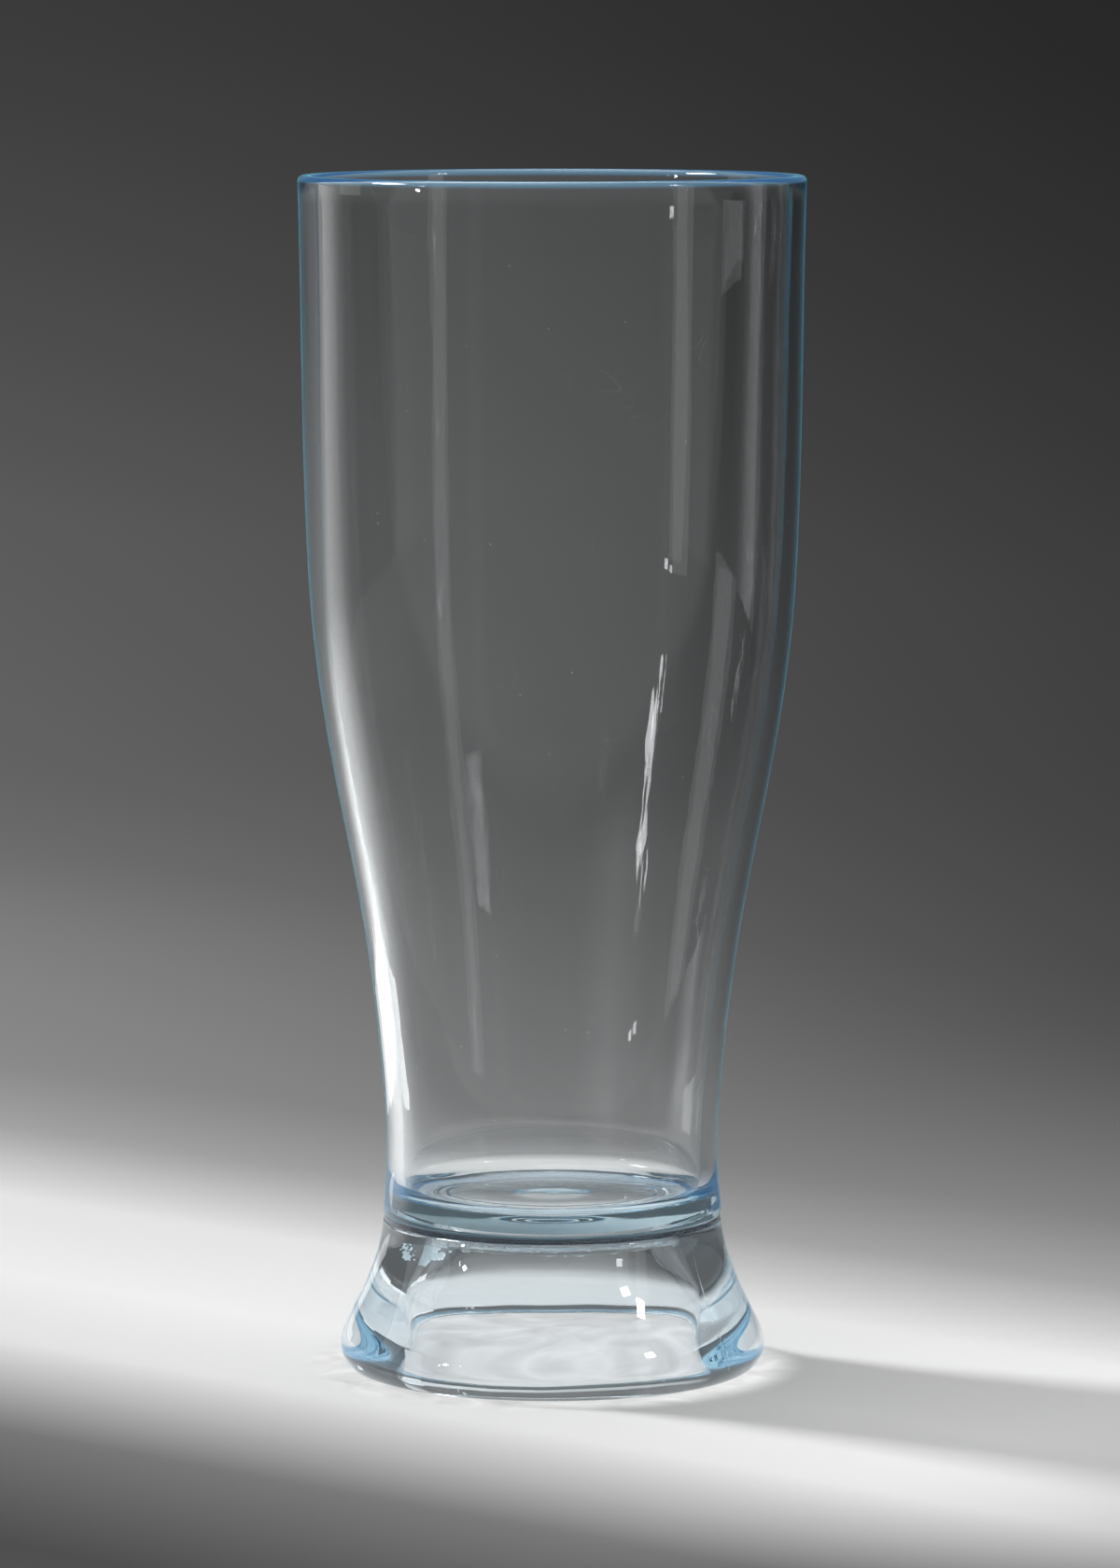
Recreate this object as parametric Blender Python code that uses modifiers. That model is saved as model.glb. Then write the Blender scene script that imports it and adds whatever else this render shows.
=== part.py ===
"""Wheat beer glass made of two clear plastic mouldings.

A tall cup with an S-shaped wall stands on a hollow flared foot. A rib under the cup's floor sits in
the foot's bore, and a ring of cured adhesive holds the two together. Metres, +Z up, and the origin is
on the surface that the foot stands on, in the middle of the foot.
"""

from math import cos, pi, radians, sin

import bpy

# Driving dimensions of the whole glass
HEIGHT = 0.1990
RIM_RADIUS = 0.0420
WALL_AT_RIM = 0.0024
WALL_AT_WAIST = 0.0027

# Outer wall of the cup: radius, height and slope (change of radius with height) where its curve changes
SHOULDER = (0.0404, 0.1320, 0.056)
TAPER = (0.0343, 0.0900, 0.205)
HIP = (0.0291, 0.0572, 0.105)
WAIST = (0.02765, 0.0360, 0.0)
SEAM_RADIUS = 0.0283
SEAM_HEIGHT = 0.0256
SEAM_SLOPE = -0.085
RIM_SLOPE = 0.030

# Floor of the cup
FLOOR_HEIGHT = 0.0291
FLOOR_FILLET = 0.0028
GATE_DIMPLE_RADIUS = 0.0070
GATE_DIMPLE_DEPTH = 0.0005

# Foot
FLARE = (0.0312, 0.0144, -0.41)
BULGE_RADIUS = 0.03545
BULGE_HEIGHT = 0.0038
STANDING_EDGE_RADIUS = 0.0325
BORE_TOP_RADIUS = 0.02075
BORE_TOP_SLOPE = -0.315
BORE_BEND = (0.0242, 0.0140, -0.28)
BORE_BOTTOM_RADIUS = 0.0261
BORE_BOTTOM_SLOPE = -0.02
BORE_EDGE_ROUNDING = 0.0008

# Joint between cup and foot
ASSEMBLY_GAP = 0.0003
SEAM_EDGE_ROUNDING = 0.0008
BOND_THICKNESS = 0.0005
BOND_BEAD_DEPTH = 0.0013
RIB_DEPTH = 0.0020
RIB_WIDTH = 0.0022
RIB_CHAMFER = 0.0004

# Facets
TURN_STEPS = 64
AXIS_MERGE = 0.00005
SHARP_ANGLE = radians(40)

# Sizes that follow from the ones above
LIP_RADIUS = WALL_AT_RIM / 2
LIP_HEIGHT = HEIGHT - LIP_RADIUS
FOOT_TOP = SEAM_HEIGHT - ASSEMBLY_GAP
BORE_TOP = (BORE_TOP_RADIUS, FOOT_TOP, BORE_TOP_SLOPE)
BORE_BOTTOM = (BORE_BOTTOM_RADIUS, BORE_EDGE_ROUNDING, BORE_BOTTOM_SLOPE)
BOND_FACE_GAP = ASSEMBLY_GAP * (1 + BORE_TOP_SLOPE ** 2) ** 0.5
BOND_OUTER_RADIUS = BORE_TOP_RADIUS - BOND_FACE_GAP
BOND_INNER_RADIUS = BOND_OUTER_RADIUS - BOND_THICKNESS
RIB_OUTER_RADIUS = BOND_INNER_RADIUS - ASSEMBLY_GAP
RIB_INNER_RADIUS = RIB_OUTER_RADIUS - RIB_WIDTH
RIB_BOTTOM = SEAM_HEIGHT - RIB_DEPTH


def sloped_radius(top, bottom, height):
    """Radius at a height on the cubic that has the given radius and slope at each end."""
    (top_radius, top_height, top_slope), (low_radius, low_height, low_slope) = top, bottom
    rise = top_height - low_height
    t = (height - low_height) / rise
    return (
        low_radius * (1 + 2 * t) * (1 - t) ** 2
        + rise * low_slope * t * (1 - t) ** 2
        + top_radius * t * t * (3 - 2 * t)
        + rise * top_slope * t * t * (t - 1)
    )


def sloped_curve(top, bottom, count):
    """Points on such a cubic from top to bottom, without the last."""
    heights = [top[1] + (bottom[1] - top[1]) * step / count for step in range(count)]
    return [(sloped_radius(top, bottom, height), height) for height in heights]


def bezier(first, first_handle, last_handle, last, count):
    """Points on a cubic Bezier curve, without its last one."""
    points = []
    for step in range(count):
        t = step / count
        weights = ((1 - t) ** 3, 3 * t * (1 - t) ** 2, 3 * t * t * (1 - t), t ** 3)
        ends = (first, first_handle, last_handle, last)
        points.append(tuple(sum(w * p[k] for w, p in zip(weights, ends)) for k in range(2)))
    return points


def arc(centre, radius, start, end, count):
    """Points on an arc, both ends included, with angles in degrees from the outward direction."""
    angles = [radians(start + (end - start) * step / count) for step in range(count + 1)]
    return [(centre[0] + radius * cos(a), centre[1] + radius * sin(a)) for a in angles]


def wall_at(height):
    """Wall thickness of the cup, which grows evenly from the rim to the waist."""
    share = (HEIGHT - height) / (HEIGHT - WAIST[1])
    return WALL_AT_RIM + (WALL_AT_WAIST - WALL_AT_RIM) * min(share, 1)


def cup_outer_wall():
    """Outer wall from below the lip down to the rounded edge at the seam."""
    rim = (RIM_RADIUS, LIP_HEIGHT, RIM_SLOPE)
    seam = (SEAM_RADIUS, SEAM_HEIGHT + SEAM_EDGE_ROUNDING, SEAM_SLOPE)
    wall = sloped_curve(rim, SHOULDER, 5)
    wall += sloped_curve(SHOULDER, TAPER, 6)
    wall += sloped_curve(TAPER, HIP, 5)
    wall += sloped_curve(HIP, WAIST, 4)
    wall += sloped_curve(WAIST, seam, 3)
    edge_centre = (SEAM_RADIUS - SEAM_EDGE_ROUNDING, seam[1])
    return wall + arc(edge_centre, SEAM_EDGE_ROUNDING, 0, -90, 3)


def cup_profile():
    outer = cup_outer_wall()
    fillet_top = FLOOR_HEIGHT + FLOOR_FILLET
    inner = [(r - wall_at(z), z) for r, z in outer if z > fillet_top + ASSEMBLY_GAP]
    fillet_centre = (inner[-1][0] - FLOOR_FILLET, fillet_top)
    floor = [(0, FLOOR_HEIGHT)] + arc(fillet_centre, FLOOR_FILLET, -90, 0, 5)
    lip = arc((RIM_RADIUS - LIP_RADIUS, LIP_HEIGHT), LIP_RADIUS, 180, 0, 6)
    rib = [
        (RIB_OUTER_RADIUS, SEAM_HEIGHT),
        (RIB_OUTER_RADIUS, RIB_BOTTOM + RIB_CHAMFER),
        (RIB_OUTER_RADIUS - RIB_CHAMFER, RIB_BOTTOM),
        (RIB_INNER_RADIUS + RIB_CHAMFER, RIB_BOTTOM),
        (RIB_INNER_RADIUS, RIB_BOTTOM + RIB_CHAMFER),
        (RIB_INNER_RADIUS, SEAM_HEIGHT),
    ]
    dimple_top = SEAM_HEIGHT + GATE_DIMPLE_DEPTH
    dimple = bezier(
        (GATE_DIMPLE_RADIUS, SEAM_HEIGHT),
        (GATE_DIMPLE_RADIUS * 0.75, SEAM_HEIGHT),
        (GATE_DIMPLE_RADIUS * 0.6, dimple_top),
        (0, dimple_top),
        4,
    )
    return floor + inner[:0:-1] + lip + outer[1:] + rib + dimple + [(0, dimple_top)]


def foot_profile():
    edge_centre = (SEAM_RADIUS - SEAM_EDGE_ROUNDING, FOOT_TOP - SEAM_EDGE_ROUNDING)
    seam_edge = arc(edge_centre, SEAM_EDGE_ROUNDING, 90, 0, 3)
    seam_start = (SEAM_RADIUS, edge_centre[1], SEAM_SLOPE)
    flare_radius, flare_height, flare_slope = FLARE
    flare_reach = 0.48 * (flare_height - BULGE_HEIGHT)
    outer = seam_edge[:-1] + sloped_curve(seam_start, FLARE, 5)
    outer += bezier(
        (flare_radius, flare_height),
        (flare_radius - flare_slope * flare_reach, flare_height - flare_reach),
        (BULGE_RADIUS, BULGE_HEIGHT * 1.8),
        (BULGE_RADIUS, BULGE_HEIGHT),
        6,
    )
    outer += bezier(
        (BULGE_RADIUS, BULGE_HEIGHT),
        (BULGE_RADIUS, BULGE_HEIGHT * 0.45),
        ((BULGE_RADIUS + STANDING_EDGE_RADIUS) / 2, 0),
        (STANDING_EDGE_RADIUS, 0),
        5,
    )
    bore_edge_centre = (BORE_BOTTOM_RADIUS + BORE_EDGE_ROUNDING, BORE_EDGE_ROUNDING)
    bore_edge = arc(bore_edge_centre, BORE_EDGE_ROUNDING, -90, -180, 4)
    bore = sloped_curve(BORE_TOP, BORE_BEND, 5) + sloped_curve(BORE_BEND, BORE_BOTTOM, 6)
    return outer + [(STANDING_EDGE_RADIUS, 0)] + bore_edge + bore[::-1]


def bond_profile():
    """Wedge between the rib and the bore, with a hollow bead below."""
    bead_bottom = RIB_BOTTOM - BOND_BEAD_DEPTH
    face_heights = [FOOT_TOP + (bead_bottom - FOOT_TOP) * step / 4 for step in range(5)]
    outer = [(sloped_radius(BORE_TOP, BORE_BEND, height) - BOND_FACE_GAP, height) for height in face_heights]
    bead_start, bead_end = outer[-1], (BOND_INNER_RADIUS, RIB_BOTTOM)
    bead = bezier(
        bead_start,
        (bead_start[0] - 0.0002, bead_bottom + 0.0006),
        (BOND_INNER_RADIUS + 0.0005, RIB_BOTTOM - 0.0001),
        bead_end,
        5,
    )
    return outer[:-1] + bead + [bead_end, (BOND_INNER_RADIUS, FOOT_TOP)]


def clear_plastic(name, colour, roughness):
    material = bpy.data.materials.new(name)
    material.use_nodes = True
    shader = material.node_tree.nodes["Principled BSDF"]
    shader.inputs["Base Color"].default_value = (*colour, 1)
    shader.inputs["Roughness"].default_value = roughness
    shader.inputs["Metallic"].default_value = 0
    shader.inputs["IOR"].default_value = 1.58
    shader.inputs["Transmission Weight"].default_value = 1
    return material


def turned_piece(name, profile, closed, material, collection, parent):
    """A profile in the XZ plane, turned about Z by a Screw modifier."""
    mesh = bpy.data.meshes.new(name)
    edges = [(i, i + 1) for i in range(len(profile) - 1)]
    if closed:
        edges.append((len(profile) - 1, 0))
    mesh.from_pydata([(radius, 0, height) for radius, height in profile], edges, [])
    mesh.materials.append(material)
    piece = bpy.data.objects.new(name, mesh)
    collection.objects.link(piece)
    piece.parent = parent
    screw = piece.modifiers.new("turn", "SCREW")
    screw.axis = "Z"
    screw.angle = 2 * pi
    screw.steps = TURN_STEPS
    screw.render_steps = TURN_STEPS
    screw.use_merge_vertices = True
    screw.merge_threshold = AXIS_MERGE
    screw.use_smooth_shade = True
    return make_plain_mesh(piece)


def make_plain_mesh(piece):
    """Keeps the turned surface as the piece's own mesh, smooth but for its sharp corners."""
    bpy.context.view_layer.update()
    graph = bpy.context.evaluated_depsgraph_get()
    turned = bpy.data.meshes.new_from_object(piece.evaluated_get(graph))
    piece.modifiers.clear()
    piece.data = turned
    turned.shade_smooth()
    turned.set_sharp_from_angle(angle=SHARP_ANGLE)
    return piece


def main():
    for old in list(bpy.data.objects):
        bpy.data.objects.remove(old, do_unlink=True)
    collection = bpy.data.collections.new("wheat_beer_glass")
    bpy.context.scene.collection.children.link(collection)
    stand = bpy.data.objects.new("glass_origin", None)
    collection.objects.link(stand)
    clear = clear_plastic("clear_plastic", (0.90, 0.96, 0.99), 0.03)
    foot_clear = clear_plastic("clear_foot_plastic", (0.86, 0.94, 0.99), 0.04)
    adhesive = clear_plastic("cured_adhesive", (0.92, 0.95, 0.96), 0.35)
    turned_piece("cup", cup_profile(), False, clear, collection, stand)
    turned_piece("foot", foot_profile(), True, foot_clear, collection, stand)
    turned_piece("bond_ring", bond_profile(), True, adhesive, collection, stand)


main()
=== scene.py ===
import math

import bmesh
import bpy
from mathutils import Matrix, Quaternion, Vector, noise


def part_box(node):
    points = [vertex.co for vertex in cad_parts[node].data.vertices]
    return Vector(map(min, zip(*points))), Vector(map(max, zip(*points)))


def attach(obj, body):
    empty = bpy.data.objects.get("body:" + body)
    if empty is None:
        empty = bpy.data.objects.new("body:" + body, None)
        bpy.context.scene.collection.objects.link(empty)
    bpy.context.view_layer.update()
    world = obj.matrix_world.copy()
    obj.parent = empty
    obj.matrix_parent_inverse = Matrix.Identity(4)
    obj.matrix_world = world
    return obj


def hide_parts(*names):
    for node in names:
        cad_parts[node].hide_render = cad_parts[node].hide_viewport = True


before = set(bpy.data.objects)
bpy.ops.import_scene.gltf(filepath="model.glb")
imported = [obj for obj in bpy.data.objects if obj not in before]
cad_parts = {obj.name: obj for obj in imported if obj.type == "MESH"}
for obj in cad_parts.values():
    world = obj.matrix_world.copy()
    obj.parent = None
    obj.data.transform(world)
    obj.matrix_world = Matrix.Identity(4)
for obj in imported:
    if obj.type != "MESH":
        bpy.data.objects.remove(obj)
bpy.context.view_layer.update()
print("frame loaded:", ", ".join(sorted(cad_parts)))


class Wire:  # one socket, so that maths on it is written as plain Python
    def __init__(self, wiring, socket):
        self.wiring = wiring
        self.socket = socket

    def maths(self, operation, first, second):
        return self.wiring.node("ShaderNodeMath", {"operation": operation}, {0: first, 1: second})

    def __add__(self, other):
        return self.maths("ADD", self, other)

    def __radd__(self, other):
        return self.maths("ADD", other, self)

    def __sub__(self, other):
        return self.maths("SUBTRACT", self, other)

    def __rsub__(self, other):
        return self.maths("SUBTRACT", other, self)

    def __mul__(self, other):
        return self.maths("MULTIPLY", self, other)

    def __rmul__(self, other):
        return self.maths("MULTIPLY", other, self)

    def __truediv__(self, other):
        return self.maths("DIVIDE", self, other)

    def __abs__(self):
        return self.wiring.node("ShaderNodeMath", {"operation": "ABSOLUTE"}, {0: self})

    def larger(self, other):
        return self.maths("MAXIMUM", self, other)

    def between(self, low, high, start=0.0, end=1.0):  # smooth step from start at low to end at high
        limits = {"From Min": low, "From Max": high, "To Min": start, "To Max": end}
        return self.wiring.node("ShaderNodeMapRange", {"interpolation_type": "SMOOTHSTEP"},
                                {"Value": self, **limits})

    def mix(self, first, second):  # of two colours, by this factor
        return self.wiring.node("ShaderNodeMix", {"data_type": "RGBA"}, {0: self, 6: first, 7: second}, 2)


class Wiring:  # the nodes of one material or of the world
    def __init__(self, tree):
        self.tree = tree
        tree.nodes.clear()

    def node(self, kind, settings=None, values=None, output=0):
        made = self.tree.nodes.new(kind)
        for key, value in (settings or {}).items():
            if key == "stops":
                self.setStops(made.color_ramp.elements, value)
            else:
                setattr(made, key, value)
        for key, value in (values or {}).items():
            if isinstance(value, Wire):
                self.tree.links.new(value.socket, made.inputs[key])
            else:
                made.inputs[key].default_value = value
        return Wire(self, made.outputs[output]) if made.outputs else None

    def setStops(self, elements, stops):
        while len(elements) < len(stops):
            elements.new(1.0)
        for element, (position, grey) in zip(elements, stops):
            element.position = position
            element.color = (grey, grey, grey, 1.0)


def newMaterial(name):
    material = bpy.data.materials.new(name)
    material.use_nodes = True
    return material, Wiring(material.node_tree)


def slopedRadius(high, low, height):  # cubic between two (radius, height, slope) stations
    rise = high[1] - low[1]
    t = (height - low[1]) / rise
    radius = low[0] * (1 + 2 * t) * (1 - t) ** 2 + rise * low[2] * t * (1 - t) ** 2
    return radius + high[0] * t * t * (3 - 2 * t) + rise * high[2] * t * t * (t - 1)


def slopedCurve(high, low, count):  # points from the high station down, without the low one
    heights = [high[1] + (low[1] - high[1]) * step / count for step in range(count)]
    return [(slopedRadius(high, low, height), height) for height in heights]


def bezier(first, firstHandle, lastHandle, last, count):  # without its last point
    points = []
    for step in range(count):
        t = step / count
        weights = ((1 - t) ** 3, 3 * t * (1 - t) ** 2, 3 * t * t * (1 - t), t ** 3)
        corners = (first, firstHandle, lastHandle, last)
        points.append(tuple(sum(w * p[k] for w, p in zip(weights, corners)) for k in range(2)))
    return points


def arc(centre, radius, start, end, count):  # both ends included, degrees from the outward direction
    angles = [math.radians(start + (end - start) * step / count) for step in range(count + 1)]
    return [(centre[0] + radius * math.cos(a), centre[1] + radius * math.sin(a)) for a in angles]


def straight(first, last, count):  # without its last point
    return [tuple(a + (b - a) * step / count for a, b in zip(first, last)) for step in range(count)]


def spinProfile(profile, closed, steps, mesh=None):
    mesh = mesh or bmesh.new()
    verts = [mesh.verts.new((radius, 0, height)) for radius, height in profile]
    edges = [mesh.edges.new(pair) for pair in zip(verts, verts[1:])]
    if closed:
        edges.append(mesh.edges.new((verts[-1], verts[0])))
    bmesh.ops.spin(mesh, geom=verts + edges, cent=(0, 0, 0), axis=(0, 0, 1), angle=2 * math.pi,
                   steps=steps, use_merge=True)
    bmesh.ops.remove_doubles(mesh, verts=mesh.verts, dist=1e-6)
    bmesh.ops.recalc_face_normals(mesh, faces=mesh.faces)
    return mesh


sharpAngle = 32.0  # edges that turn further than this stay sharp


def finishPiece(mesh, name, node, material):
    data = bpy.data.meshes.new(name)
    mesh.to_mesh(data)
    mesh.free()
    data.shade_smooth()
    data.set_sharp_from_angle(angle=math.radians(sharpAngle))
    data.materials.append(material)
    piece = bpy.data.objects.new(name, data)
    bpy.context.scene.collection.objects.link(piece)
    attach(piece, "root")
    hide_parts(node)
    print(name, "done:", len(data.polygons), "faces")
    return piece


# clear plastic, shared by the pieces

plastic = {
    "ior": 1.58,
    "polish": 0.005,  # roughness where it is clean
    "smear": 0.02,  # roughness that smears add
    "smearScale": 38.0,
    "smearEdge": (0.5, 0.72),
    "streak": 1.5,  # draw lines of the mould, upright
    "streakScale": 260.0,
    "streakStretch": (1.0, 1.0, 0.06),
    "bubbles": 0.0,
    "bubbleScale": 1900.0,
    "reliefDepth": 0.00001,
    # grey that dust specks and scratches glow with: painted glints
    "dustGlint": 0.16,
    "speckScale": 230.0,
    "speckEdge": (0.045, 0.02),
    "speckChance": (0.62, 0.80),
    "scratches": 0.10,
    "hairScale": 75.0,
    "hairEdge": (0.0022, 0.0006),
    "patchScale": 42.0,
    "patchEdge": (0.64, 0.70),
    "lipHeights": (0.1977, 0.1985),
    "lipRough": 0.05,
    # painted light at the lip: a blue tint and a glow, standing in for light guided up the wall
    "lipColour": (0.70, 0.88, 1.0, 1.0),
    "lipGlow": (0.022, 0.085, 0.140, 1.0),
    "groove": 0.02545,  # the groove between cup and foot is darker in colour
    "grooveHalf": (0.0009, 0.0005),
    "grooveRadii": (0.0268, 0.0274),
    "grooveColour": (0.12, 0.14, 0.16, 1.0),
    "frost": 0.0,  # roughness added below frostHeights
    "frostHeights": (0.0226, 0.0218),
    "frostGlow": (0.0, 0.0, 0.0, 1.0),  # painted glow below frostHeights, standing in for light that the frost scatters
    "haze": 0.9,  # guided light that leaves along the edges
    "hazeSpread": 0.17,
    "hazeTint": (0.18, 0.68, 0.92, 1.0),
    "tint": (0.20, 0.71, 0.90),
    "tintDensity": 9.5,
}


def clearPlastic(name, settings):
    material, wiring = newMaterial(name)
    place = wiring.node("ShaderNodeTexCoord", output="Object")
    height = wiring.node("ShaderNodeSeparateXYZ", {}, {0: place}, "Z")
    flat = wiring.node("ShaderNodeVectorMath", {"operation": "MULTIPLY"}, {0: place, 1: (1.0, 1.0, 0.0)})
    around = wiring.node("ShaderNodeVectorMath", {"operation": "LENGTH"}, {0: flat}, "Value")
    lip = height.between(*settings["lipHeights"])
    groove = abs(height - settings["groove"]).between(*settings["grooveHalf"])
    groove = groove * around.between(*settings["grooveRadii"])
    frost = height.between(*settings["frostHeights"])
    # dust specks and hairline scratches, which glow as painted glints
    cells = {"Vector": place, "Scale": settings["speckScale"]}
    spot = wiring.node("ShaderNodeTexVoronoi", {}, cells, "Distance")
    chance = wiring.node("ShaderNodeTexVoronoi", {}, cells, "Color")
    speck = spot.between(*settings["speckEdge"]) * chance.between(*settings["speckChance"])
    curls = {"Vector": place, "Scale": settings["hairScale"], "Detail": 1.0}
    curl = wiring.node("ShaderNodeTexNoise", {}, curls)
    patches = {"Vector": place, "Scale": settings["patchScale"], "Detail": 2.0}
    patch = wiring.node("ShaderNodeTexNoise", {}, patches)
    hairline = abs(curl - 0.5).between(*settings["hairEdge"]) * patch.between(*settings["patchEdge"])
    dustGlint = speck.larger(hairline * settings["scratches"])
    smears = {"Vector": place, "Scale": settings["smearScale"], "Detail": 4.0}
    smear = wiring.node("ShaderNodeTexNoise", {}, smears).between(*settings["smearEdge"])
    roughness = settings["polish"] + settings["smear"] * smear + lip * settings["lipRough"]
    roughness = roughness + frost * settings["frost"]
    # relief of draw lines and bubbles
    upright = wiring.node("ShaderNodeVectorMath", {"operation": "MULTIPLY"},
                          {0: place, 1: settings["streakStretch"]})
    streaks = {"Vector": upright, "Scale": settings["streakScale"], "Detail": 3.0}
    relief = wiring.node("ShaderNodeTexNoise", {}, streaks) * settings["streak"]
    if settings["bubbles"]:
        bubbles = {"Vector": place, "Scale": settings["bubbleScale"]}
        bubble = wiring.node("ShaderNodeTexVoronoi", {}, bubbles, "Distance")
        relief = relief + bubble * settings["bubbles"]
    bump = wiring.node("ShaderNodeBump", {}, {
        "Strength": 1.0,
        "Distance": settings["reliefDepth"],
        "Height": relief,
    })
    clear = (1.0, 1.0, 1.0, 1.0)
    black = (0.0, 0.0, 0.0, 1.0)
    pale = (*[settings["dustGlint"]] * 3, 1.0)
    colour = groove.mix(lip.mix(clear, settings["lipColour"]), settings["grooveColour"])
    # painted glow: light in the frost, light guided to the lip, glints of dust and scratches
    glow = dustGlint.mix(lip.mix(frost.mix(black, settings["frostGlow"]), settings["lipGlow"]), pale)
    surface = wiring.node("ShaderNodeBsdfPrincipled", {}, {
        "Base Color": colour,
        "IOR": settings["ior"],
        "Transmission Weight": 1.0,
        "Roughness": roughness,
        "Sheen Weight": settings["haze"],
        "Sheen Roughness": settings["hazeSpread"],
        "Sheen Tint": settings["hazeTint"],
        "Emission Color": glow,
        "Emission Strength": 1.0,
        "Normal": bump,
    })
    tint = wiring.node("ShaderNodeVolumeAbsorption", {}, {
        "Color": (*settings["tint"], 1.0),
        "Density": settings["tintDensity"],
    })
    wiring.node("ShaderNodeOutputMaterial", {}, {"Surface": surface, "Volume": tint})
    return material


# slow unevenness of the moulded walls

unevenness = {
    "upStretch": 0.45,  # along Z the waves are longer
    "outerSeed": 3.0,
    "innerSeed": 9.0,
    "axisRadius": 0.0015,  # nothing moves this close to the axis
}


def waveWalls(mesh, waves, low, high, run, outerShare=1.0):  # inner and outer side apart
    mesh.normal_update()
    for vert in mesh.verts:
        radius = math.hypot(vert.co.x, vert.co.y)
        fade = max(0, min((vert.co.z - low) / run, (high - vert.co.z) / run, 1))
        if radius < unevenness["axisRadius"] or fade == 0:
            continue
        outward = vert.normal.x * vert.co.x + vert.normal.y * vert.co.y > 0
        seed = unevenness["outerSeed"] if outward else unevenness["innerSeed"]
        fade *= outerShare if outward else 1
        lift = 0
        for wave, length in waves:
            place = vert.co / length
            spot = (place.x, place.y, place.z * unevenness["upStretch"] + seed)
            lift += noise.noise(spot) * wave * fade
        vert.co.x *= 1 + lift / radius
        vert.co.y *= 1 + lift / radius


# cup: drinking vessel, turned, with a rib below its floor

cup = {
    "steps": 320,
    "lipWall": 0.0024,
    "waistWall": 0.0027,
    "rimSlope": 0.030,
    "shoulder": (0.0404, 0.1320, 0.056),  # radius, height, slope
    "taper": (0.0343, 0.0900, 0.205),
    "hip": (0.0291, 0.0572, 0.105),
    "waist": (0.02765, 0.0360, 0.0),
    "seam": (0.0283, 0.0256, -0.085),
    "floorHeight": 0.0291,
    "floorFillet": 0.0028,
    "dimpleRadius": 0.0070,
    "dimpleDepth": 0.0005,
    "dimpleHandles": (0.75, 0.6),  # curve handles, as shares of its radius
    "nubRadius": 0.0014,  # what the gate left
    "nubDepth": 0.00035,
    "nubTaper": 0.8,
    "seamEdge": 0.0008,
    "ribOuter": 0.01964,
    "ribInner": 0.01744,
    "ribDepth": 0.0020,
    "ribRounding": 0.0005,
    "lipRounding": 0.0009,
    "wallSteps": (22, 18, 16, 12, 8),  # points between one station and the next
    "innerEnd": 0.0006,  # the inner wall stops this far above the fillet
    "waves": ((0.00006, 0.030), (0.000012, 0.010)),  # height, length
    "waveEnds": (0.004, 0.003),  # above the floor, below the lip
    "waveFade": 0.008,
}


def cupProfile():
    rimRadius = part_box("cup")[1].x
    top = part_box("cup")[1].z
    lip = cup["lipWall"] / 2
    rim = (rimRadius, top - lip, cup["rimSlope"])
    seamHeight = cup["seam"][1]
    edge = cup["seamEdge"]
    seam = (cup["seam"][0], seamHeight + edge, cup["seam"][2])
    stations = [rim, cup["shoulder"], cup["taper"], cup["hip"], cup["waist"], seam]
    outer = []
    for high, low, count in zip(stations, stations[1:], cup["wallSteps"]):
        outer += slopedCurve(high, low, count)
    outer += arc((seam[0] - edge, seam[1]), edge, 0, -90, 6)
    span = top - cup["waist"][1]
    fillet = cup["floorFillet"]
    filletTop = cup["floorHeight"] + fillet
    inner = []
    for radius, height in outer:
        if height > filletTop + cup["innerEnd"]:
            share = min((top - height) / span, 1)
            inner.append((radius - cup["lipWall"] - (cup["waistWall"] - cup["lipWall"]) * share, height))
    filletCentre = (inner[-1][0] - fillet, filletTop)
    floor = straight((0, cup["floorHeight"]), (filletCentre[0], cup["floorHeight"]), 8)
    floor += arc(filletCentre, fillet, -90, 0, 14)
    rounding = cup["lipRounding"]
    lipArc = arc((rimRadius - 2 * lip + rounding, top - rounding), rounding, 180, 90, 8)
    lipArc += arc((rimRadius - rounding, top - rounding), rounding, 90, 0, 8)
    ribBottom = seamHeight - cup["ribDepth"]
    rounding = cup["ribRounding"]
    rib = [(cup["ribOuter"], seamHeight)]
    rib += arc((cup["ribOuter"] - rounding, ribBottom + rounding), rounding, 0, -90, 5)
    rib += arc((cup["ribInner"] + rounding, ribBottom + rounding), rounding, -90, -180, 5)
    rib += straight((cup["ribInner"], seamHeight), (cup["dimpleRadius"], seamHeight), 5)
    dimpleTop = seamHeight + cup["dimpleDepth"]
    wide, narrow = (cup["dimpleRadius"] * share for share in cup["dimpleHandles"])
    nub, nubDepth, nubTaper = cup["nubRadius"], cup["nubDepth"], cup["nubTaper"]
    dimple = bezier((cup["dimpleRadius"], seamHeight), (wide, seamHeight), (narrow, dimpleTop),
                    (nub, dimpleTop), 8)
    dimple += [(nub, dimpleTop), (nub * nubTaper, dimpleTop - nubDepth)]
    dimple += [(0, dimpleTop - nubDepth * nubTaper)]
    return floor + inner[:0:-1] + lipArc + outer[1:] + rib + dimple


def makeCup():
    mesh = spinProfile(cupProfile(), False, cup["steps"])
    low = cup["floorHeight"] + cup["waveEnds"][0]
    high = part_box("cup")[1].z - cup["waveEnds"][1]
    waveWalls(mesh, cup["waves"], low, high, cup["waveFade"])
    material = clearPlastic("clearCupPlastic", plastic)
    return finishPiece(mesh, "cupMoulding", "cup", material)


# foot: open flared ring below the cup

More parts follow.
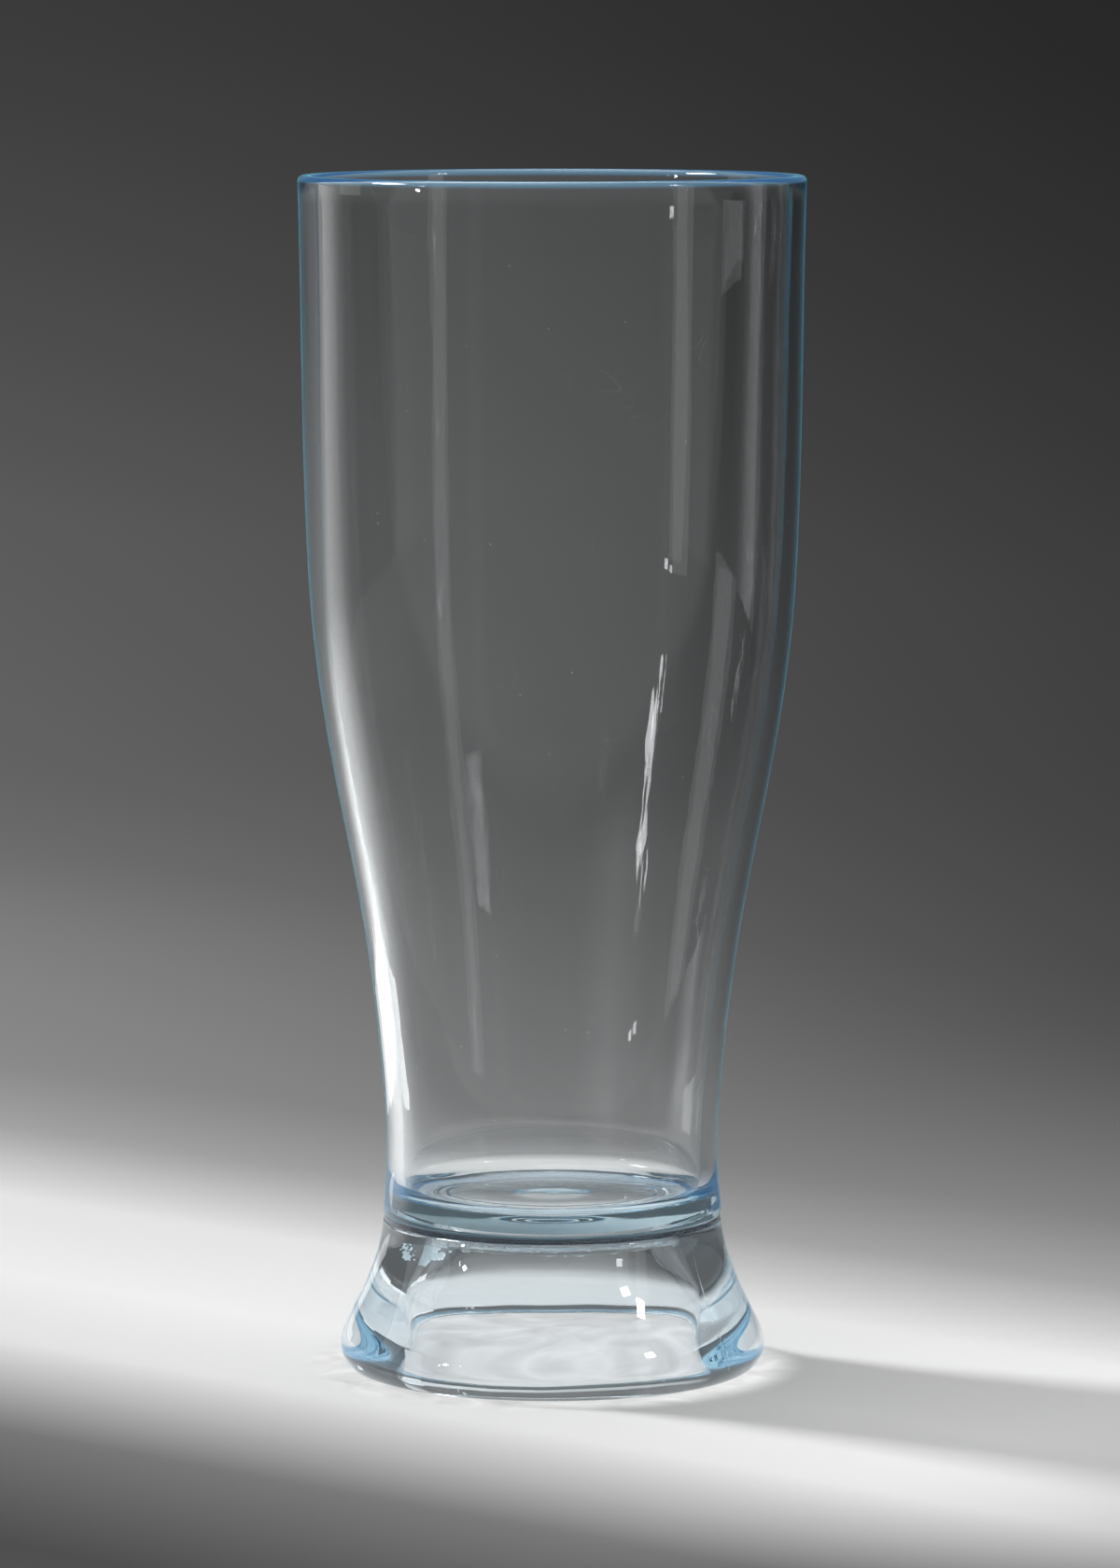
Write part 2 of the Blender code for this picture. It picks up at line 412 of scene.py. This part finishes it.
foot = {
    "steps": 256,
    "flare": (0.0312, 0.0144, -0.41),
    "bulgeRadius": 0.03545,
    "bulgeHeight": 0.0038,
    "standingEdge": 0.0325,
    "flareHandle": 0.48,  # curve handles, as shares of the heights that they span
    "bulgeHandles": (1.8, 0.45),
    "boreTop": (0.02075, 0.0253, -0.02),
    "boreBend": (0.0242, 0.0140, -0.38),
    "boreBottom": (0.0261, 0.0008, -0.02),
    "partingAzimuth": 54.0,
    "partingWidth": 0.00012,
    "partingHeight": 0.00003,
    "partingBottom": 0.003,
    "partingOutward": 0.01,
    "waves": ((0.00022, 0.016), (0.00004, 0.006)),
    "waveSpan": (0.0012, 0.0235),
    "waveFade": 0.002,
    "waveOuterShare": 0.35,
}

footPlastic = dict(plastic, haze=0.3, tint=(0.20, 0.70, 0.94), tintDensity=11.0)


def footProfile():
    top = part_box("foot")[1].z
    edge = cup["seamEdge"]
    seam = (cup["seam"][0], top - edge, cup["seam"][2])
    flare = foot["flare"]
    bulge = (foot["bulgeRadius"], foot["bulgeHeight"])
    reach = foot["flareHandle"] * (flare[1] - bulge[1])
    above, below = foot["bulgeHandles"]
    outer = arc((seam[0] - edge, seam[1]), edge, 90, 0, 6)[:-1] + slopedCurve(seam, flare, 14)
    flareEnd = (flare[0] - flare[2] * reach, flare[1] - reach)
    outer += bezier(flare[:2], flareEnd, (bulge[0], bulge[1] * above), bulge, 16)
    standing = (foot["standingEdge"], 0)
    outer += bezier(bulge, (bulge[0], bulge[1] * below), ((bulge[0] + standing[0]) / 2, 0), standing, 12)
    low = foot["boreBottom"]
    boreEdge = arc((low[0] + low[1], low[1]), low[1], -90, -180, 8)
    bore = slopedCurve(foot["boreTop"], foot["boreBend"], 14) + slopedCurve(foot["boreBend"], low, 14)
    return outer + straight(standing, boreEdge[0], 4) + boreEdge + bore[::-1]


def addPartingLine(mesh):  # fine ridge where the two halves of the mould met, on both sides
    turn = math.radians(foot["partingAzimuth"])
    across = Vector((math.cos(turn), math.sin(turn), 0))
    for offset in (-foot["partingWidth"], foot["partingWidth"], 0):
        cut = bmesh.ops.bisect_plane(mesh, geom=mesh.verts[:] + mesh.edges[:] + mesh.faces[:], dist=1e-7,
                                     plane_co=across * offset, plane_no=across)
    mesh.normal_update()
    for vert in [v for v in cut["geom_cut"] if isinstance(v, bmesh.types.BMVert)]:
        outward = vert.normal.x * vert.co.x + vert.normal.y * vert.co.y
        if outward > foot["partingOutward"] and vert.co.z > foot["partingBottom"]:  # outer side alone
            vert.co += vert.normal * foot["partingHeight"]


def makeFoot():
    mesh = spinProfile(footProfile(), True, foot["steps"])
    waveWalls(mesh, foot["waves"], *foot["waveSpan"], foot["waveFade"], foot["waveOuterShare"])
    addPartingLine(mesh)
    material = clearPlastic("clearFootPlastic", footPlastic)
    return finishPiece(mesh, "footMoulding", "foot", material)


# bond: cured adhesive between rib and bore

bond = {
    "steps": 256,
    "inner": 0.01994,
    "innerBottom": 0.0236,
    "gap": 0.00031,
    "bottom": 0.0223,
    "hollowHandles": ((-0.0002, 0.0006), (0.0005, -0.0001)),  # of the hollow lower side
    "ragged": 0.0007,
    "raggedShares": (0.4, 0.6),  # even part, uneven part
    "raggedScale": 700.0,
    "flakes": ((4.0, 16.0), (-39.0, 7.0)),  # azimuth, half width
    "flakeDepth": 1.4,
    "flakeScale": 0.45,
    "flakeRise": 0.25,
    "beadGap": 0.00006,
    "beadReach": 46.0,  # how far it follows the rounded edges, degrees
    "runCells": (56, 36),
    "runSpan": (-82.0, -45.0),
    "runHeights": (0.0182, 0.0251),
    "runThickness": 0.00028,
    "runEdge": 0.82,  # smaller is a smaller run
    "runStretch": 0.9,  # smaller is a taller run
    "runLobes": ((0.55, 2.2, 4.0), (0.2, 7.0, 1.0)),  # share, scale and seed of its uneven edge
    "runWave": (0.00004, 9.0, 7.0),  # height, scale and seed of its uneven face
}

# the frosted adhesive gets a painted glow below frostHeights
curedPlastic = dict(plastic, polish=0.05, frost=0.30, tintDensity=4.0, bubbles=10.0, dustGlint=0.5, haze=0.0,
                    frostGlow=(0.075, 0.10, 0.11, 1.0))


def boreRadius(height):
    return slopedRadius(foot["boreTop"], foot["boreBend"], height)


def addRun(mesh):  # thin frosted run of adhesive down the bore
    across, tall = bond["runCells"]
    grid = bmesh.ops.create_grid(mesh, x_segments=across, y_segments=tall, size=1.0)["verts"]
    outside = []
    for vert in grid:
        u, v = vert.co.x, vert.co.y
        edge = u * u + (v * bond["runStretch"]) ** 2
        for share, scale, seed in bond["runLobes"]:
            edge += share * noise.noise((u * scale, v * scale, seed))
        if edge > bond["runEdge"]:
            outside.append(vert)
    bmesh.ops.delete(mesh, geom=outside, context="VERTS")
    kept = [vert for vert in grid if vert.is_valid]
    low, high = bond["runHeights"]
    start, end = bond["runSpan"]
    wave, scale, seed = bond["runWave"]
    for vert in kept:
        u, v = vert.co.x, vert.co.y
        turn = math.radians(start + (end - start) * (u + 1) / 2)
        height = low + (high - low) * (v + 1) / 2
        radius = boreRadius(height) - bond["gap"] - wave * (1 + noise.noise((u * scale, v * scale, seed)))
        vert.co = (math.sin(turn) * radius, -math.cos(turn) * radius, height)
    faces = list({face for vert in kept for face in vert.link_faces})
    bmesh.ops.recalc_face_normals(mesh, faces=faces)
    bmesh.ops.solidify(mesh, geom=faces, thickness=bond["runThickness"])


def beadProfile():  # squeezed-out adhesive in the groove between cup and foot
    edge = cup["seamEdge"]
    radius = edge + bond["beadGap"]
    reach = bond["beadReach"]
    above = (cup["seam"][0] - edge, cup["seam"][1] + edge)
    below = (cup["seam"][0] - edge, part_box("foot")[1].z - edge)
    return arc(above, radius, -90, reach - 90, 8) + arc(below, radius, 90 - reach, 90, 8)


def bondProfile():
    bore = slopedCurve(foot["boreTop"], foot["boreBend"], 40)
    outer = [(radius - bond["gap"], height) for radius, height in bore if height > bond["bottom"]]
    start, end = outer[-1], (bond["inner"], bond["innerBottom"])
    startPull, endPull = bond["hollowHandles"]
    hollow = bezier(start, (start[0] + startPull[0], start[1] + startPull[1]),
                    (end[0] + endPull[0], end[1] + endPull[1]), end, 8)
    return outer[:-1] + hollow + [end, (bond["inner"], outer[0][1])]


def ragLowerEdge(mesh):
    scale = bond["raggedScale"]
    even, uneven = bond["raggedShares"]
    span = bond["innerBottom"] - bond["bottom"]
    for vert in mesh.verts:
        depth = max(0, (bond["innerBottom"] - vert.co.z) / span)
        if depth == 0:
            continue
        turn = math.degrees(math.atan2(vert.co.x, -vert.co.y))
        drop = even + uneven * noise.noise((vert.co.x * scale, vert.co.y * scale, 2.0))
        for middle, half in bond["flakes"]:
            near = max(0, 1 - abs(turn - middle) / half)
            rise = max(0, noise.noise((turn * bond["flakeScale"], 3.0, middle)) + bond["flakeRise"])
            drop += bond["flakeDepth"] * near * rise
        vert.co.z -= max(0, drop) * depth * bond["ragged"]


def makeBond():
    mesh = spinProfile(bondProfile(), True, bond["steps"])
    ragLowerEdge(mesh)
    addRun(mesh)
    spinProfile(beadProfile(), True, bond["steps"], mesh)
    material = clearPlastic("curedAdhesive", curedPlastic)
    return finishPiece(mesh, "curedBond", "bond_ring", material)


# studio: floor, lamps, world and camera

studio = {
    "floorRadius": 400.0,
    "lightAxis": 41.0,  # the pool of light runs across the floor at this angle
    "poolReach": 0.15,
    "floorGreys": (  # distance across the pool, grey
        (-20.0, 0.10), (-0.30, 0.10), (-0.16, 0.06), (-0.10, 0.15), (-0.045, 0.66), (0.0, 0.76),
        (0.06, 0.69), (0.12, 0.31), (0.18, 0.20), (0.45, 0.11), (1.3, 0.085), (60.0, 0.035)),
    "poolFan": (-0.2, 3.2),  # where the pool fans out to the left, how much
    "poolLevel": (-0.20, 0.14, 0.86, 1.15),  # along the pool: from, to, share there
    "poolEnd": (0.09, 0.26, 1.0, 0.12),
    "poolLeft": (0.0, 0.2, 0.0, 0.35),
    "poolLeftReach": (0.12, 0.0),
    "sideShare": (-0.14, 0.14, 0.55, -0.45),  # the far floor is paler to the left
    "sideReach": (0.1, 0.4),
    "sideNearest": 0.2,
    "frontGrey": 0.22,  # floor below and behind the camera
    "frontReach": (-0.165, -0.26),
    "underReach": (0.035, 0.043, 1.0, 0.0),  # light that the foot gathers below itself
    "underShare": 0.08,
    "underGlow": 0.75,
    # painted caustic ripples below the foot
    "causticRipple": 0.9,
    "causticRippleScale": 75.0,
    "ownGlow": 0.10,
    "ownGlowReach": (0.3, 1.0),
    "worldGrey": 0.12,
    "wallGrey": 0.08,  # pale wall low behind the camera, on top of that
    "wallHeights": (0.35, 0.15),
    "wallSides": (-0.2, -0.5),
    "worldFill": 0.50,
    "farGrey": 0.03,
    "cameraPlace": (0.0013, -1.20, 0.230),
    "cameraPitch": 6.28,
    "lens": 166.5,
    "sensor": 36.0,
    "clipEnd": 1000.0,
    "aimHeight": 0.1,
    "bounces": 300,  # light runs up the wall to the lip by many reflections
}

lamps = {  # azimuth from the camera's side, distance, height, width, tall, brightness, lean
    "shade": (-122.0, 1.60, 1.20, 0.25, 0.25, 190.0, 0.0),
    "overhead": (-120.0, 0.25, 1.60, 1.20, 1.20, 1.2, 0.0),
    "leftSide": (-103.4, 6.00, 1.56, 1.68, 3.10, 0.6, 0.0),
    "rightFront": (60.5, 0.60, 0.31, 0.095, 0.60, 0.55, 0.0),
    "leftNear": (-146.0, 0.25, 0.010, 0.080, 0.020, 1.0, 0.0),
    "sparkLow": (-62.4, 15.0, 0.430, 0.550, 0.140, 160.0, 0.0),
    "sparkHigh": (-60.0, 1.50, 0.415, 0.070, 0.075, 30.0, -35.0),
    "sparkThin": (-63.8, 1.50, 0.350, 0.018, 0.070, 30.0, 0.0),
    "sparkRight": (59.0, 1.10, 0.62, 0.100, 0.100, 40.0, 0.0),
    "sparkLeft": (-87.0, 1.10, 0.85, 0.340, 0.250, 60.0, 0.0),
}


def poolGrey(wiring, place, x, y):  # grey of the plain floor, falling off from a pool of light
    angle = math.radians(studio["lightAxis"])
    across = wiring.node("ShaderNodeVectorMath", {"operation": "DOT_PRODUCT"},
                         {0: place, 1: (math.sin(angle), math.cos(angle), 0)}, "Value")
    along = wiring.node("ShaderNodeVectorMath", {"operation": "DOT_PRODUCT"},
                        {0: place, 1: (math.cos(angle), -math.sin(angle), 0)}, "Value")
    fanStart, fan = studio["poolFan"]
    outward = (fanStart - along).larger(0.0)
    farther = across.larger(0.0)
    across = farther + (across - farther) / (1.0 + fan * outward)
    reach = studio["poolReach"]
    squeezed = across / (abs(across) + reach) * 0.5 + 0.5
    stops = [(d / (abs(d) + reach) * 0.5 + 0.5, grey) for d, grey in studio["floorGreys"]]
    grey = wiring.node("ShaderNodeValToRGB", {"stops": stops}, {"Fac": squeezed})
    grey = grey * along.between(*studio["poolLevel"])
    side = x / (y - studio["cameraPlace"][1]).larger(studio["sideNearest"])
    sideways = side.between(*studio["sideShare"]) * across.between(*studio["sideReach"])
    grey = grey * (1.0 + sideways) * along.between(*studio["poolEnd"])
    left = outward.between(*studio["poolLeft"]) * across.between(*studio["poolLeftReach"])
    return grey * (1.0 + left)


def palePaper():
    material, wiring = newMaterial("palePaper")
    place = wiring.node("ShaderNodeTexCoord", output="Object")
    x = wiring.node("ShaderNodeSeparateXYZ", {}, {0: place}, "X")
    y = wiring.node("ShaderNodeSeparateXYZ", {}, {0: place}, "Y")
    away = wiring.node("ShaderNodeVectorMath", {"operation": "LENGTH"}, {0: place}, "Value")
    grey = poolGrey(wiring, place, x, y)
    grey = grey.larger(y.between(*studio["frontReach"], 0.0, studio["frontGrey"]))
    # painted light below the foot, with painted caustic ripples
    under = away.between(*studio["underReach"])
    causticRipples = {"Vector": place, "Scale": studio["causticRippleScale"], "Detail": 2.0, "Distortion": 1.5}
    causticRipple = wiring.node("ShaderNodeTexNoise", {}, causticRipples) - 0.5
    grey = grey * (1.0 + under * (studio["underShare"] + causticRipple * studio["causticRipple"]))
    ownGlow = away.between(*studio["ownGlowReach"], studio["ownGlow"], 1.0) + under * studio["underGlow"]
    paper = wiring.node("ShaderNodeBsdfDiffuse", {}, {"Color": grey})
    glow = wiring.node("ShaderNodeEmission", {}, {"Color": grey})
    seen = wiring.node("ShaderNodeLightPath", output="Is Camera Ray")
    seen = seen.larger(wiring.node("ShaderNodeLightPath", output="Is Glossy Ray"))
    seen = seen.larger(wiring.node("ShaderNodeLightPath", output="Is Transmission Ray"))
    mixed = wiring.node("ShaderNodeMixShader", {}, {0: seen * ownGlow, 1: paper, 2: glow})
    wiring.node("ShaderNodeOutputMaterial", {}, {"Surface": mixed})
    return material


def makeFloor():
    mesh = bmesh.new()
    bmesh.ops.create_circle(mesh, cap_ends=True, radius=studio["floorRadius"], segments=96)
    data = bpy.data.meshes.new("floor")
    mesh.to_mesh(data)
    mesh.free()
    data.materials.append(palePaper())
    floor = bpy.data.objects.new("floor", data)
    bpy.context.scene.collection.objects.link(floor)


def makeLamp(name, azimuth, distance, height, width, tall, brightness, lean):
    light = bpy.data.lights.new(name, "AREA")
    light.shape = "RECTANGLE"
    light.size = width
    light.size_y = tall
    light.energy = brightness * math.pi * width * tall
    lamp = bpy.data.objects.new(name, light)
    bpy.context.scene.collection.objects.link(lamp)
    turn = math.radians(azimuth)
    place = Vector((math.sin(turn) * distance, -math.cos(turn) * distance, height))
    lamp.location = place
    aim = (Vector((0, 0, studio["aimHeight"])) - place).to_track_quat("-Z", "Y")
    lamp.rotation_euler = (aim @ Quaternion((0, 0, 1), math.radians(lean))).to_euler()
    lamp.visible_camera = False
    if name == "shade":  # lights the floor alone, for the soft shadow
        lamp.visible_glossy = False
        lamp.visible_transmission = False
    elif name != "overhead":  # shows in the plastic alone
        lamp.visible_diffuse = False


def makeWorld():
    world = bpy.data.worlds.new("room")
    bpy.context.scene.world = world
    world.use_nodes = True
    wiring = Wiring(world.node_tree)
    seen = wiring.node("ShaderNodeLightPath", output="Is Camera Ray")
    filled = wiring.node("ShaderNodeLightPath", output="Is Diffuse Ray")
    look = wiring.node("ShaderNodeTexCoord", output="Generated")
    up = wiring.node("ShaderNodeSeparateXYZ", {}, {0: look}, "Z")
    toward = wiring.node("ShaderNodeSeparateXYZ", {}, {0: look}, "Y")
    wall = up.between(*studio["wallHeights"]) * toward.between(*studio["wallSides"])
    strength = (studio["worldGrey"] + wall * studio["wallGrey"]) * (1.0 - seen) + seen * studio["farGrey"]
    strength = strength + filled * (studio["worldFill"] - studio["worldGrey"])
    room = wiring.node("ShaderNodeBackground", {}, {"Color": (1.0, 1.0, 1.0, 1.0), "Strength": strength})
    wiring.node("ShaderNodeOutputWorld", {}, {"Surface": room})


def makeCamera():
    data = bpy.data.cameras.new("camera")
    data.lens = studio["lens"]
    data.sensor_width = studio["sensor"]
    data.clip_end = studio["clipEnd"]
    camera = bpy.data.objects.new("camera", data)
    bpy.context.scene.collection.objects.link(camera)
    camera.location = studio["cameraPlace"]
    camera.rotation_euler = (math.radians(90 - studio["cameraPitch"]), 0, 0)
    bpy.context.scene.camera = camera


makeCup()
makeFoot()
makeBond()
makeFloor()
for lampName, lampValues in lamps.items():
    makeLamp(lampName, *lampValues)
makeWorld()
makeCamera()
print("studio done:", len(lamps), "lamps")

scene = bpy.context.scene
scene.view_settings.view_transform = "Standard"
scene.cycles.max_bounces = studio["bounces"]
scene.cycles.transmission_bounces = studio["bounces"]
scene.cycles.glossy_bounces = studio["bounces"]
